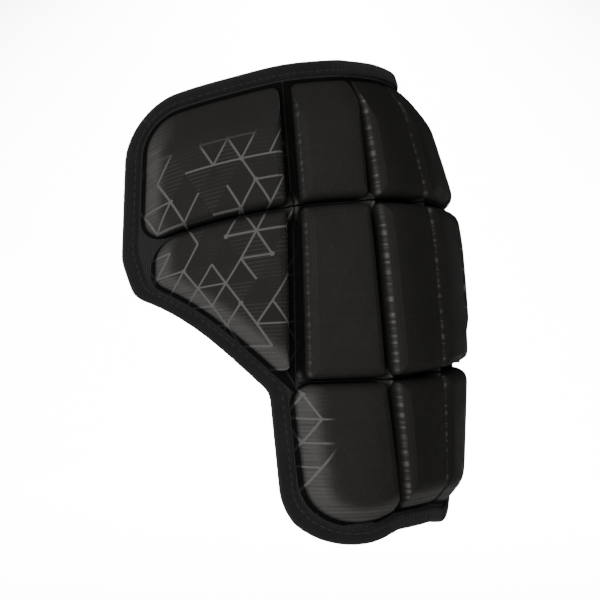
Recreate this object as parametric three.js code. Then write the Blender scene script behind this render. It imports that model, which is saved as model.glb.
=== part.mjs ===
// Hip pad of padded sports shorts, for the wearer's left hip.
// Foam blocks under a stretch skin stand in rows on a thin carrier panel, and a folded tape binds the panel's edge.
// Millimetres. +Z is up, -Y is the way the wearer faces, +X points out of the left hip.
// The origin is on the skin side of the panel, behind the middle block.
import * as THREE from "three";

// Block field, laid flat: columns run from the front of the hip to the back, rows from the foot up.
const endColumnWidth = 54.5; // of the front column and the rear one
const foreColumnWidth = 31.2;
const midColumnWidth = 35.8;
const aftColumnWidth = 41;
const lowerRowHeight = 48.2;
const middleRowHeight = 64.2;
const upperRowHeight = 45.6;
const grooveShiftWidth = 9.2; // the foot of the groove ahead of the mid column lies this much behind a straight line

// facing is the compass angle of a column's face, from -Y towards +X. shift is how far the groove ahead of the
// column strays from a straight line, as a share of the same groove's stray ahead of the mid column.
const columns = [
  { name: "front", width: endColumnWidth, facing: 23, shift: 0 },
  { name: "fore", width: foreColumnWidth, facing: 48, shift: 0 },
  { name: "mid", width: midColumnWidth, facing: 90, shift: 1 },
  { name: "aft", width: aftColumnWidth, facing: 104, shift: 0.8 },
  { name: "rear", width: endColumnWidth, facing: 120, shift: 0.4 },
];

// lean is how far a row tips in at its top, in degrees. first and last are its end columns.
const rows = [
  { name: "lower", height: lowerRowHeight, lean: -1, first: 1, last: 3 },
  { name: "middle", height: middleRowHeight, lean: 4, first: 0, last: 4 },
  { name: "upper", height: upperRowHeight, lean: 18, first: 0, last: 4 },
];

// How far back the upright grooves lie at each row line, as a share of grooveShiftWidth.
const grooveShifts = [
  { line: "foot", back: 1 },
  { line: "lower groove", back: 0.19 },
  { line: "upper groove", back: -0.19 },
  { line: "top", back: 0.4 },
];

const columnBend = 1; // share of the way between two column middles over which the pad turns
const rowBend = 0.6;
const archRise = 16; // the upper groove stands this much higher in the fore column than at its ends
const archPeak = 0.8; // place of that high point, as a share of the fore column's width
const archFall = { front: 2, rear: 1.5 }; // powers of the distance by which the arch falls away on either side

// Panel, blocks and their edges
const panelThickness = 1.6;
const seatGap = 0.35;
const blockHeight = 7.6;
const faceCrownHeight = 0.5;
const columnGrooveWidth = 3.2;
const endGrooveWidth = 5.2;
const rowGrooveWidth = 1.5;
const columnShoulderWidth = 3.2;
const rowShoulderWidth = 3.9;
const rimSlopeWidth = 9;
const topTaperWidth = 16;
const sharpCornerRadius = 3;
const endCornerRadius = 11;

// Edge tape and the strip of panel that it covers
const flangeWidth = 6.6;
const tapeLapWidth = 4.2;
const tapeWall = 1;
const tapeGap = 0.4;
const insideCornerRadius = 9; // radius where the outline steps in from the middle row to the lower row
const footTurnRadius = 20; // and where its foot turns under the lower row's middle block

// Corners of the block at the end of each row, counter-clockwise on a front end seen from outside.
// inward is a share of that column's width from its outer line, up a share of the row's height.
// round is the corner's radius as a share of endCornerRadius, or nothing where the corner is sharp.
const endBlocks = {
  upper: [
    { inward: 1, up: 0 },
    { inward: 1, up: 1 },
    { inward: 0.01, up: 1, round: 1 },
    { inward: 0, up: 0, round: 0.8 },
  ],
  middle: [
    { inward: 1, up: -0.04 },
    { inward: 1, up: 1 },
    { inward: 0.08, up: 1, round: 0.65 },
    { inward: 0.08, up: 0.73, round: 1 },
  ],
  lower: [
    { inward: 1, up: 0 },
    { inward: 1, up: 1 },
    { inward: -0.05, up: 1, round: 0.55 },
    { inward: 0.14, up: -0.22, round: 1.45 },
  ],
};
const endBlockSides = {
  upper: ["endGroove", "top", "rim", "row"],
  middle: ["endGroove", "row", "rim", "rim"],
  lower: ["column", "row", "rim", "rim"],
};
const rearFootLift = 0.15; // the rear end of the lower row ends higher than the front end, as a share of the row

// Climb of a block's edge from its foot to its face: run is a share of the edge's width, rise of the block's height.
const columnClimb = [
  { run: 0, rise: 0 },
  { run: 0.22, rise: 0.6 },
  { run: 0.5, rise: 0.89 },
  { run: 1, rise: 1 },
];
const edgeClimb = {
  column: columnClimb,
  endGroove: columnClimb,
  row: [
    { run: 0, rise: 0 },
    { run: 0.2, rise: 0.56 },
    { run: 0.5, rise: 0.87 },
    { run: 1, rise: 1 },
  ],
  rim: [
    { run: 0, rise: 0 },
    { run: 0.08, rise: 0.24 },
    { run: 0.74, rise: 0.88 },
    { run: 1, rise: 1 },
  ],
  top: [
    { run: 0, rise: 0 },
    { run: 0.05, rise: 0.2 },
    { run: 0.75, rise: 0.88 },
    { run: 1, rise: 1 },
  ],
};

// Fineness of the faceted surfaces
const blockAcross = 6;
const blockUp = 4;
const blockCornerSteps = 4;
const outlineCornerSteps = 8;
const panelAcross = 34;
const panelUp = 18;
const underHollowDepth = 0.3;
const pathStep = 0.5;
const pathMargin = 30;

const { clamp, degToRad, lerp, smoothstep } = THREE.MathUtils;

// Running totals of a list of sizes, starting at zero.
function linesOf(sizes) {
  const lines = [0];
  for (const size of sizes) lines.push(lines.at(-1) + size);
  return lines;
}

const columnLines = linesOf(columns.map((column) => column.width));
const rowLines = linesOf(rows.map((row) => row.height));
const columnMiddles = columns.map((column, i) => columnLines[i] + column.width / 2);
const rowMiddles = rows.map((row, i) => rowLines[i] + row.height / 2);
const middleColumn = columns.findIndex((column) => column.name === "mid");
const middleRow = rows.findIndex((row) => row.name === "middle");
const archU = columnLines[1] + archPeak * columns[1].width;

// Angle at a distance along the pad: each band holds its own angle at its middle and turns to the next one's
// about the groove between them.
function angleAt(distance, middles, angles, bendShare) {
  let k = 0;
  while (k < middles.length - 2 && distance > middles[k + 1]) k += 1;
  const way = (distance - middles[k]) / (middles[k + 1] - middles[k]);
  const turned = smoothstep(way, (1 - bendShare) / 2, (1 + bendShare) / 2);
  return degToRad(lerp(angles[k], angles[k + 1], turned));
}

const facings = columns.map((column) => column.facing);
const leans = rows.map((row) => row.lean);
const facingAt = (u) => angleAt(u, columnMiddles, facings, columnBend);
const leanAt = (v) => angleAt(v, rowMiddles, leans, rowBend);

// A curve that starts at zero and heads along angleOf at each distance, as a function of the distance.
function tracedPath(length, zero, angleOf) {
  const low = -pathMargin;
  const count = Math.ceil((length + 2 * pathMargin) / pathStep);
  const points = [new THREE.Vector2()];
  for (let i = 0; i < count; i += 1) {
    const angle = angleOf(low + (i + 0.5) * pathStep);
    const step = new THREE.Vector2(Math.cos(angle), Math.sin(angle)).multiplyScalar(pathStep);
    points.push(points[i].clone().add(step));
  }
  const at = (distance) => {
    const place = clamp((distance - low) / pathStep, 0, count - 1);
    const i = Math.floor(place);
    return points[i].clone().lerp(points[i + 1], place - i);
  };
  const start = at(zero);
  return (distance) => at(distance).sub(start);
}

const planPath = tracedPath(columnLines.at(-1), columnMiddles[middleColumn], facingAt);
const profilePath = tracedPath(rowLines.at(-1), rowMiddles[middleRow], leanAt);

// How much lower the pad hangs than its arch's high point, growing from the lower groove to the upper one.
function archDrop(u, v) {
  const ahead = u < archU;
  const span = ahead ? archU - columnLines[0] : columnLines.at(-1) - archU;
  const fall = (Math.abs(u - archU) / span) ** (ahead ? archFall.front : archFall.rear);
  return archRise * fall * smoothstep(v, rowLines[1], rowLines[2]);
}

// The value at a distance between the lines of a table that has one value a line, held beyond its ends.
function between(distance, lines, values) {
  let k = 0;
  while (k < lines.length - 2 && distance > lines[k + 1]) k += 1;
  return lerp(values[k], values[k + 1], clamp((distance - lines[k]) / (lines[k + 1] - lines[k]), 0, 1));
}

const columnShifts = [...columns.map((column) => column.shift), 0];
const rowShifts = grooveShifts.map(({ back }) => back);

// The point at u along the hip, v up it and w out from the skin side of the panel.
function padPoint(u, v, w) {
  const shift = between(u, columnLines, columnShifts) * between(v, rowLines, rowShifts);
  const along = u + grooveShiftWidth * shift;
  const facing = facingAt(along);
  const lean = leanAt(v);
  const plan = planPath(along);
  const profile = profilePath(v);
  const out = w * Math.cos(lean) - profile.y;
  return new THREE.Vector3(
    plan.x + Math.sin(facing) * out,
    plan.y - Math.cos(facing) * out,
    profile.x + w * Math.sin(lean) - archDrop(u, v),
  );
}

// Moves each side of a polygon by its own distance, inwards where positive, and meets the sides again.
function movedSides(corners, distances) {
  const lines = corners.map((corner, i) => {
    const next = corners[(i + 1) % corners.length];
    const along = new THREE.Vector2(next.u - corner.u, next.v - corner.v).normalize();
    const inward = new THREE.Vector2(-along.y, along.x);
    const start = new THREE.Vector2(corner.u, corner.v).addScaledVector(inward, distances[i]);
    return { start, along };
  });
  return corners.map((corner, i) => {
    const side = lines[i];
    const before = lines[(i + corners.length - 1) % corners.length];
    const gap = side.start.clone().sub(before.start);
    const way = gap.cross(side.along) / before.along.cross(side.along);
    const met = before.start.clone().addScaledVector(before.along, way);
    return { ...corner, u: met.x, v: met.y };
  });
}

// Points round a polygon whose corners are rounded by their radii, with the same count for any size.
// side and mix say which side a point is on, and how far a corner has turned from the side before it.
function roundedLoop(corners, sideSteps, cornerSteps) {
  const at = corners.map(({ u, v }) => new THREE.Vector2(u, v));
  const count = corners.length;
  const arcs = corners.map((corner, i) => {
    const back = at[(i + count - 1) % count].clone().sub(at[i]).normalize();
    const ahead = at[(i + 1) % count].clone().sub(at[i]).normalize();
    const half = Math.acos(clamp(back.dot(ahead), -1, 1)) / 2;
    const reach = corner.radius / Math.tan(half);
    const centre = back.clone().add(ahead).normalize();
    centre.multiplyScalar(corner.radius / Math.sin(half)).add(at[i]);
    const first = at[i].clone().addScaledVector(back, reach).sub(centre);
    const turn = Math.sign(ahead.cross(back)) * (Math.PI - 2 * half);
    return { centre, first, turn };
  });
  const points = [];
  for (let i = 0; i < count; i += 1) {
    const { centre, first, turn } = arcs[i];
    for (let k = 0; k <= cornerSteps; k += 1) {
      const mix = k / cornerSteps;
      const p = first.clone().rotateAround(new THREE.Vector2(), turn * mix).add(centre);
      points.push({ u: p.x, v: p.y, side: i, mix });
    }
    const from = points.at(-1);
    const next = arcs[(i + 1) % count];
    const to = next.first.clone().add(next.centre);
    for (let k = 1; k < sideSteps[i]; k += 1) {
      const way = k / sideSteps[i];
      points.push({ u: lerp(from.u, to.x, way), v: lerp(from.v, to.y, way), side: i, mix: 1 });
    }
  }
  return points;
}

// A grid over the inside of a closed loop, as rows from its foot to its top, whose rim is the loop's own points.
// Point number start of the loop begins the foot row, and the loop runs across, up, back across and down.
function gridOver(loop, start, across, up) {
  const on = (k) => loop[(start + k) % loop.length];
  const low = (i) => on(i);
  const right = (k) => on(across + k);
  const high = (i) => on(2 * across + up - i);
  const left = (k) => on(2 * (across + up) - k);
  const blend = (key, i, k) => {
    const [x, y] = [i / across, k / up];
    const edges = lerp(left(k)[key], right(k)[key], x) + lerp(low(i)[key], high(i)[key], y);
    const foot = lerp(low(0)[key], low(across)[key], x);
    return edges - lerp(foot, lerp(high(0)[key], high(across)[key], x), y);
  };
  const pointAt = (i, k) => {
    if (k === 0) return low(i);
    if (k === up) return high(i);
    if (i === 0) return left(k);
    if (i === across) return right(k);
    return { u: blend("u", i, k), v: blend("v", i, k), w: blend("w", i, k) };
  };
  const steps = (count) => Array.from({ length: count + 1 }, (_, k) => k);
  return steps(up).map((k) => steps(across).map((i) => pointAt(i, k)));
}

// One closed skin over loops of equal count, from the underside up, closed by a grid at each end.
// The grids are raised in their middles by underRise and faceRise.
function cappedSkin(loops, start, across, up, underRise, faceRise) {
  const positions = [];
  const indices = [];
  const known = new Map();
  const idOf = (point) => {
    if (!known.has(point)) known.set(point, positions.push(...padPoint(point.u, point.v, point.w).toArray()) / 3 - 1);
    return known.get(point);
  };
  const quad = (...points) => {
    const [a, b, c, d] = points.map(idOf);
    indices.push(a, b, c, a, c, d);
  };
  const capGrid = (loop, rise) => {
    const hump = (x) => 1 - (2 * x - 1) ** 2;
    const grid = gridOver(loop, start, across, up);
    for (let k = 1; k < up; k += 1) {
      for (let i = 1; i < across; i += 1) grid[k][i].w += rise * Math.sqrt(hump(i / across) * hump(k / up));
    }
    return grid;
  };
  const under = capGrid(loops[0], underRise);
  const face = capGrid(loops.at(-1), faceRise);
  for (let k = 0; k < up; k += 1) {
    for (let i = 0; i < across; i += 1) {
      quad(under[k][i], under[k + 1][i], under[k + 1][i + 1], under[k][i + 1]);
      quad(face[k][i], face[k][i + 1], face[k + 1][i + 1], face[k + 1][i]);
    }
  }
  for (let k = 0; k + 1 < loops.length; k += 1) {
    loops[k].forEach((point, i) => {
      const j = (i + 1) % loops[k].length;
      quad(point, loops[k][j], loops[k + 1][j], loops[k + 1][i]);
    });
  }
  return geometryOf(positions, indices);
}

function geometryOf(positions, indices) {
  const geometry = new THREE.BufferGeometry();
  geometry.setAttribute("position", new THREE.Float32BufferAttribute(positions, 3));
  geometry.setIndex(indices);
  geometry.computeVertexNormals();
  return geometry;
}

const grooveFoot = {
  column: columnGrooveWidth / 2,
  endGroove: endGrooveWidth / 2,
  row: rowGrooveWidth / 2,
  rim: 0,
  top: 0,
};
const edgeWidth = {
  column: columnShoulderWidth,
  endGroove: columnShoulderWidth,
  row: rowShoulderWidth,
  rim: rimSlopeWidth,
  top: topTaperWidth,
};

// A block on the polygon of corners, from its lower right one counter-clockwise. Its side i, from corner i to the
// next, is of the kind sides[i].
function blockGeometry(corners, sides) {
  const foot = panelThickness + seatGap;
  const sideSteps = [blockUp, blockAcross, blockUp, blockAcross];
  const loops = edgeClimb.rim.map((_, level) => {
    const steps = sides.map((kind) => edgeClimb[kind][level]);
    const insets = sides.map((kind, i) => grooveFoot[kind] + edgeWidth[kind] * steps[i].run);
    const inner = movedSides(corners, insets).map((corner, i) => {
      const before = insets[(i + insets.length - 1) % insets.length];
      return { ...corner, radius: Math.max(corner.radius - Math.min(insets[i], before), 1) };
    });
    return roundedLoop(inner, sideSteps, blockCornerSteps).map(({ u, v, side, mix }) => {
      const before = steps[(side + steps.length - 1) % steps.length];
      return { u, v, w: foot + blockHeight * lerp(before.rise, steps[side].rise, mix) };
    });
  });
  const start = loops[0].length - blockAcross - blockCornerSteps / 2;
  const [across, up] = [blockAcross + blockCornerSteps, blockUp + blockCornerSteps];
  return cappedSkin(loops, start, across, up, underHollowDepth, faceCrownHeight);
}

// The four corners of a block inside its row.
function innerBlock(rowIndex, columnIndex) {
  const [left, right] = [columnLines[columnIndex], columnLines[columnIndex + 1]];
  const [low, high] = [rowLines[rowIndex], rowLines[rowIndex + 1]];
  const corner = (u, v) => ({ u, v, radius: sharpCornerRadius });
  return [corner(right, low), corner(right, high), corner(left, high), corner(left, low)];
}

// The corners of a row's end block. A rear one is the front one mirrored, its foot a little higher in the lower row.
function endBlock(rowIndex, columnIndex, rear) {
  const row = rows[rowIndex];
  const { width } = columns[columnIndex];
  const outerLine = columnLines[columnIndex + (rear ? 1 : 0)];
  const footLift = rear && rowIndex === 0 ? rearFootLift : 0;
  return endBlocks[row.name].map(({ inward, up, round }) => ({
    u: outerLine + (rear ? -1 : 1) * inward * width,
    v: rowLines[rowIndex] + (up < 0 ? up + footLift : up) * row.height,
    radius: round ? round * endCornerRadius : sharpCornerRadius,
  }));
}

// A mirrored outline runs clockwise, so its corners and sides are taken the other way round.
function mirroredOrder(corners, sides) {
  const turned = [...corners].reverse();
  const kinds = turned.map((_, i) => sides[(2 * sides.length - 2 - i) % sides.length]);
  return [turned, kinds];
}

function blockSolid(rowIndex, columnIndex) {
  const row = rows[rowIndex];
  if (columnIndex === row.first) {
    return blockGeometry(endBlock(rowIndex, columnIndex, false), endBlockSides[row.name]);
  }
  if (columnIndex === row.last) {
    const corners = endBlock(rowIndex, columnIndex, true);
    return blockGeometry(...mirroredOrder(corners, endBlockSides[row.name]));
  }
  const top = rowIndex === rows.length - 1 ? "top" : "row";
  const foot = rowIndex === 0 ? "rim" : "row";
  const [right, left] = [grooveKind(columnIndex + 1), grooveKind(columnIndex)];
  return blockGeometry(innerBlock(rowIndex, columnIndex), [right, top, left, foot]);
}

// The grooves beside the end columns are wider than the other upright ones.
function grooveKind(line) {
  return line === 1 || line === columns.length - 1 ? "endGroove" : "column";
}

// The edge of the carrier panel, moved out by the flangeWidth from the outer corners of the end blocks and from the foot
// of the lower row's middle block.
function panelCorners() {
  const outer = (rear) => {
    const [lower, middle, upper] = rows.map((row, i) => endBlock(i, rear ? row.last : row.first, rear));
    const stepIn = { ...lower[2], radius: insideCornerRadius };
    return [upper[2], upper[3], middle[3], stepIn, lower[3]];
  };
  const foot = [middleColumn, middleColumn + 1].map((line) => ({ u: columnLines[line], v: 0, radius: footTurnRadius }));
  const loop = [...outer(false), ...foot, ...outer(true).reverse()];
  const moved = movedSides(loop, loop.map(() => -flangeWidth));
  const kept = [insideCornerRadius, footTurnRadius];
  return moved.map((corner) => ({
    ...corner,
    radius: kept.includes(corner.radius) ? corner.radius : corner.radius + flangeWidth,
  }));
}

// Evenly spaced points along a polyline, from its first point up to but without its last one.
function evenlySpaced(line, steps) {
  const lengths = linesOf(line.slice(1).map((p, i) => Math.hypot(p.u - line[i].u, p.v - line[i].v)));
  return Array.from({ length: steps }, (_, k) => {
    const length = (lengths.at(-1) * k) / steps;
    const i = lengths.findIndex((end) => end > length) - 1;
    const way = (length - lengths[i]) / (lengths[i + 1] - lengths[i]);
    return { u: lerp(line[i].u, line[i + 1].u, way), v: lerp(line[i].v, line[i + 1].v, way) };
  });
}

// The panel's outline in evenly spaced points counter-clockwise, from the middle of the upper front corner's arc.
function outlineLoop() {
  const corners = panelCorners();
  const fine = roundedLoop(corners, corners.map(() => 1), outlineCornerSteps);
  const arcMiddle = (corner) => corner * (outlineCornerSteps + 1) + outlineCornerSteps / 2;
  const [frontFoot, rearFoot, rearTop] = [4, corners.length - 5, corners.length - 1];
  const turns = [
    { from: 0, to: frontFoot, steps: panelUp },
    { from: frontFoot, to: rearFoot, steps: panelAcross },
    { from: rearFoot, to: rearTop, steps: panelUp },
    { from: rearTop, to: rearTop + 1, steps: panelAcross },
  ];
  return turns.flatMap(({ from, to, steps }) => {
    const indices = Array.from({ length: arcMiddle(to) - arcMiddle(from) + 1 }, (_, k) => arcMiddle(from) + k);
    return evenlySpaced(indices.map((index) => fine[index % fine.length]), steps);
  });
}

function panelGeometry() {
  const outline = outlineLoop();
  const loops = [0, panelThickness].map((w) => outline.map(({ u, v }) => ({ u, v, w })));
  return cappedSkin(loops, panelUp, panelAcross, panelUp, 0, 0);
}

// The tape's section: out is the distance past the panel's edge, w the height over its skin side.
function tapeSection() {
  const lap = -tapeLapWidth;
  const fold = tapeGap + tapeWall;
  const inner = [-tapeGap, panelThickness + tapeGap];
  const outer = [-fold, panelThickness + fold];
  const chamfer = tapeGap + tapeWall * 0.4;
  return [
    { out: lap, w: outer[1] },
    { out: chamfer, w: outer[1] },
    { out: fold, w: inner[1] },
    { out: fold, w: inner[0] },
    { out: chamfer, w: outer[0] },
    { out: lap, w: outer[0] },
    { out: lap, w: inner[0] },
    { out: tapeGap, w: inner[0] },
    { out: tapeGap, w: inner[1] },
    { out: lap, w: inner[1] },
  ];
}

// The tape follows the panel's edge all round, folded over it like a U.
function tapeGeometry() {
  const edge = outlineLoop();
  const section = tapeSection();
  const positions = [];
  const indices = [];
  edge.forEach(({ u, v }, i) => {
    const before = edge[(i + edge.length - 1) % edge.length];
    const after = edge[(i + 1) % edge.length];
    const inward = new THREE.Vector2(before.v - after.v, after.u - before.u).normalize();
    for (const { out, w } of section) {
      positions.push(...padPoint(u - inward.x * out, v - inward.y * out, w).toArray());
    }
  });
  const count = section.length;
  for (let i = 0; i < edge.length; i += 1) {
    const [a, b] = [i * count, ((i + 1) % edge.length) * count];
    for (let k = 0; k < count; k += 1) {
      const n = (k + 1) % count;
      indices.push(a + k, b + n, b + k, a + k, a + n, b + n);
    }
  }
  return geometryOf(positions, indices);
}

function fabric(color, roughness) {
  return new THREE.MeshStandardMaterial({ color, roughness, metalness: 0 });
}

function named(name, geometry, material) {
  const mesh = new THREE.Mesh(geometry, material);
  mesh.name = name;
  return mesh;
}

function buildHipPad() {
  const pad = new THREE.Group();
  pad.add(named("carrier_panel", panelGeometry(), fabric(0x1b1b1a, 0.9)));
  pad.add(named("edge_tape", tapeGeometry(), fabric(0x161618, 0.85)));
  rows.forEach((row, i) => {
    for (let k = row.first; k <= row.last; k += 1) {
      pad.add(named(`${row.name}_${columns[k].name}_block`, blockSolid(i, k), fabric(0x22211f, 0.75)));
    }
  });
  return pad;
}

export default buildHipPad();
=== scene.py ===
"""Hip pad for padded sports shorts: foam blocks under a stretch skin, on a thin panel with an edge tape."""
import math

import bpy
import numpy as np
from bpy.props import FloatProperty, FloatVectorProperty, PointerProperty
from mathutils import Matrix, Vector


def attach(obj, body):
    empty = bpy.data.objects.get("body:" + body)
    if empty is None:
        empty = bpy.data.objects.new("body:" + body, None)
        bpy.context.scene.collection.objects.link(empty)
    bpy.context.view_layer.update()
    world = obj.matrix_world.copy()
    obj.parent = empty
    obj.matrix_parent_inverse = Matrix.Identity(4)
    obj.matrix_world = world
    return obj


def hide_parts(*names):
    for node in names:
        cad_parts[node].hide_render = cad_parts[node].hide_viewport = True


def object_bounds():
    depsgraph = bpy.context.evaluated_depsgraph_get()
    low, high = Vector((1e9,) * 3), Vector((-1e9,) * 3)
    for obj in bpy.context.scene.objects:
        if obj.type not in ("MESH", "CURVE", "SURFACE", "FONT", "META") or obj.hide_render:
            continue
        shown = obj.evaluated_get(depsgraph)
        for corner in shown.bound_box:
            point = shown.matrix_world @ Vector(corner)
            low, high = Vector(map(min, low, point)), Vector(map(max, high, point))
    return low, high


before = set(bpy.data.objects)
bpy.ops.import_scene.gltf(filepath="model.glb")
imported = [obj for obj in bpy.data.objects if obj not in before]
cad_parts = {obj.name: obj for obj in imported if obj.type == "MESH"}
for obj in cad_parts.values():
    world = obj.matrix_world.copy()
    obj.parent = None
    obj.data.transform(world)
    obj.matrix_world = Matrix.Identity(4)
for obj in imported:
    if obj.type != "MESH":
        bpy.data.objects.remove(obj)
cad_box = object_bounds()

bl_info = {
    "name": "Hip Pad",
    "version": (1, 0, 0),
    "blender": (4, 5, 0),
    "location": "View3D > Sidebar > Hip Pad",
    "description": "Models a segmented hip pad with its skin, panel, edge tape and sewing",
    "category": "Add Mesh",
}

# The pad laid flat, in millimetres, as the solids have it: columns from the front of the hip back,
# rows from the foot up.
COLUMNS = (  # name, width, facing from -Y towards +X in degrees, share of the shift at its front line
    ("front", 54.5, 23, 0),
    ("fore", 31.2, 48, 0),
    ("mid", 35.8, 90, 1),
    ("aft", 41.0, 104, 0.8),
    ("rear", 54.5, 120, 0.4),
)
ROWS = (  # name, height, inward lean in degrees, first and last column
    ("lower", 48.2, -1, 1, 3),
    ("middle", 64.2, 4, 0, 4),
    ("upper", 45.6, 18, 0, 4),
)
GROOVE_SHIFT = 9.2
ROW_SHIFTS = (1, 0.19, -0.19, 0.4)  # of the upright grooves at each row line, as shares of GROOVE_SHIFT
COLUMN_BEND = 1.0
ROW_BEND = 0.6
ARCH_RISE = 16.0
ARCH_PEAK = 0.8
ARCH_FALL = (2.0, 1.5)

PANEL_THICKNESS = 1.6
SEAT_GAP = 0.35
BLOCK_HEIGHT = 7.6
GROOVE_FOOT = {"column": 1.6, "end": 2.6, "row": 0.75, "rim": 0.0, "top": 0.0}
EDGE_WIDTH = {"column": 3.2, "end": 3.2, "row": 3.9, "rim": 9.0, "top": 16.0}
SHARP_CORNER = 3.0
FLANGE = 6.6
TAPE_LAP = 4.2
TAPE_GAP = 0.4
TAPE_WALL = 1.0
TAPE_FOLD = TAPE_GAP + TAPE_WALL
INSIDE_CORNER = 9.0
FOOT_TURN = 20.0
REAR_FOOT_LIFT = 0.15

# Corners of the end blocks: inward as a share of the column's width, up as a share of the row's, radius.
END_BLOCKS = {
    "upper": ((1, 0, SHARP_CORNER), (1, 1, SHARP_CORNER), (0.01, 1, 11), (0, 0, 8.8)),
    "middle": ((1, -0.04, SHARP_CORNER), (1, 1, SHARP_CORNER), (0.08, 1, 7.15), (0.08, 0.73, 11)),
    "lower": ((1, 0, SHARP_CORNER), (1, 1, SHARP_CORNER), (-0.05, 1, 6.05), (0.14, -0.22, 15.95)),
}
END_SIDES = {
    "upper": ("end", "top", "rim", "row"),
    "middle": ("end", "row", "rim", "rim"),
    "lower": ("column", "row", "rim", "rim"),
}

# Climb of the skin from a block's foot to its face: shares of the edge's width and of the block's height.
ROUND_CLIMB = (
    (0, 0), (0.01, 0.16), (0.05, 0.34), (0.12, 0.52), (0.24, 0.69), (0.4, 0.83), (0.62, 0.94), (1, 1),
)
CLIMB = {
    "column": ROUND_CLIMB,
    "end": ROUND_CLIMB,
    "row": ROUND_CLIMB,
    "rim": (
        (0, 0), (0.03, 0.16), (0.1, 0.28), (0.27, 0.45), (0.46, 0.63), (0.64, 0.79), (0.8, 0.92), (1, 1),
    ),
    "top": (
        (0, 0), (0.03, 0.14), (0.12, 0.26), (0.32, 0.46), (0.52, 0.66), (0.7, 0.83), (0.85, 0.94), (1, 1),
    ),
}
FIRST_STEP = 0.1
LEAST_CORNER = 0.4
FACE_HUMP = 0.45

# The skirt of skin past a block's foot: its reach, and its loops as shares of reach and of roundness.
SKIRT_OUT = {"column": -1.45, "end": -2.45, "row": -0.62, "rim": -1.5, "top": -1.5}
SKIRT = ((1, 0.15), (0.2, 0.6))
SKIRT_LIFT = 0.12
SKIRT_UNDERSIDE = 0.04
SADDLE_RISE = 6.0
SADDLE_REACH = 3.2

# What the skin's material reads, by share of the block's height: where bands start, are full, fade and end:
# painted shade at the blocks' feet, painted highlights on the shoulders and down the rims' slopes.
# Painted shade: the skin's colour darkens from a block's foot up to these shares of its height, where the
# grooves lie in shade.
GROOVE_SHADE_FROM = 0.02
GROOVE_SHADE_TO = {"column": 0.5, "end": 0.55, "row": 0.25, "rim": 0.15, "top": 0.1}
# Painted highlight: beads of light along the upright shoulders, by groove kind and by share of the block's
# height.
SHOULDER_HIGHLIGHT = {"column": 1.0, "end": 0.4}
SHOULDER_HIGHLIGHT_BAND = (0.48, 0.64, 0.7, 0.82)
# Painted highlight, with printed hatching in it, down the slopes of the rims.
RIM_HIGHLIGHT_BAND = (0.1, 0.3, 0.6, 1)

# The tape's seam: its distance from the edge, its puckers, and how far a stitch shows, dips and sinks.
SEAM_INSET = 1.3
SEAM_PUCKER = 0.16
STITCH_SHARE = 0.86
STITCH_DIP = 0.42
STITCH_SUNK = (0.24, 0.16)  # on the blocks' side and on the hip's

# Steps of the meshes: along a block's sides and round its corners, over the panel, and along the tape.
ACROSS, UP, CORNER = 18, 16, 6
PANEL_ACROSS, PANEL_UP = 150, 110
TAPE_ACROSS, TAPE_UP, TAPE_STEPS = 200, 150, 760
PATH_STEP = 0.25
PATH_MARGIN = 30.0
PRESSURE_FRAMES = 20
HELD_LOOPS = 4

# The print, in millimetres: its lines, the share of the net that shows, and how far up the upper row it goes.
PRINT_WIDTH = 0.5
PRINT_SHARE = 0.52
PRINT_TOP = 0.55
PRINT_FADE = 5
NET_SEED = 3.0  # picks which lengths show
DOT_RADIUS = 0.7
DOT_SHARE = 0.3
HATCH_PITCH = 0.75

# The flat pattern in the UV maps: millimetres from the corner of a square that holds all of it.
PATTERN_SIZE = 280.0
PATTERN_MARGIN = 25.0

CLOTH_GLOSS = 0.004  # black knit hardly mirrors the studio

CAMERA_AZIMUTH = 26.0
CAMERA_ELEVATION = 4.0
CAMERA_DISTANCE = 2.6
FRAME_WIDTH = 0.222  # what the picture spans at the pad
SENSOR_WIDTH = 36
FLOOR_RADIUS = 26.0
KEY_PLACE = (-0.6, 0.6, 1.9)  # right, up and back from the camera's view
KEY_SIZE = (2.0, 1.4)
KEY_POWER = 118
BACKGROUND_REACH = 11.2
BACKGROUND_HEIGHT = 1.2
BACKGROUND_SIZE = (1.6, 18.4)
BACKGROUND_POWER = 2050
BACKGROUND_SPREAD = 85
REAR_AZIMUTH = math.radians(240)  # of the light on the side that faces the hip
REAR_RISE = 0.35
REAR_REACH = 2.2
REAR_SIZE = (1.5, 1.5)
REAR_POWER = 110
WORLD_STRENGTH = 0.5


def length_property(name, description, default):
    return FloatProperty(name=name, description=description, default=default, unit="LENGTH")


def colour_property(name, description, default):
    return FloatVectorProperty(name=name, description=description, subtype="COLOR", size=3, default=default)


class HipPadSizes(bpy.types.PropertyGroup):
    """Sizes that a user would change"""

    swell: length_property("Block swell", "Most that the foam pushes the skin out", 0.0007)
    stitch_pitch: length_property("Stitch pitch", "Distance from stitch to stitch on the edge tape", 0.0031)
    stitch_width: length_property("Thread width", "Width of the sewing thread", 0.00055)
    wale_pitch: length_property("Wale pitch", "Width of one column of knitted loops", 0.0006)
    print_spacing: length_property("Print spacing", "Distance between the printed net's lines", 0.0088)
    floor_drop: length_property("Floor drop", "Height of the pad's foot over the floor", 0.3)


class HipPadColours(bpy.types.PropertyGroup):
    """Colours that a user would change"""

    skin: colour_property("Skin", "Knit over the blocks", (0.0098, 0.0095, 0.0088))
    ink: colour_property("Print", "Lines printed on the skin", (0.045, 0.044, 0.043))
    panel: colour_property("Panel", "Knit of the carrier panel", (0.011, 0.011, 0.0114))
    tape: colour_property("Tape", "Woven edge tape", (0.007, 0.0068, 0.0072))
    thread: colour_property("Thread", "Sewing thread", (0.011, 0.0108, 0.0108))
    floor: colour_property("Floor", "Studio floor", (0.86, 0.86, 0.86))


# Flat pattern and its bend round the hip


def lines_of(sizes):
    return np.concatenate([[0.0], np.cumsum(sizes)])


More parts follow.
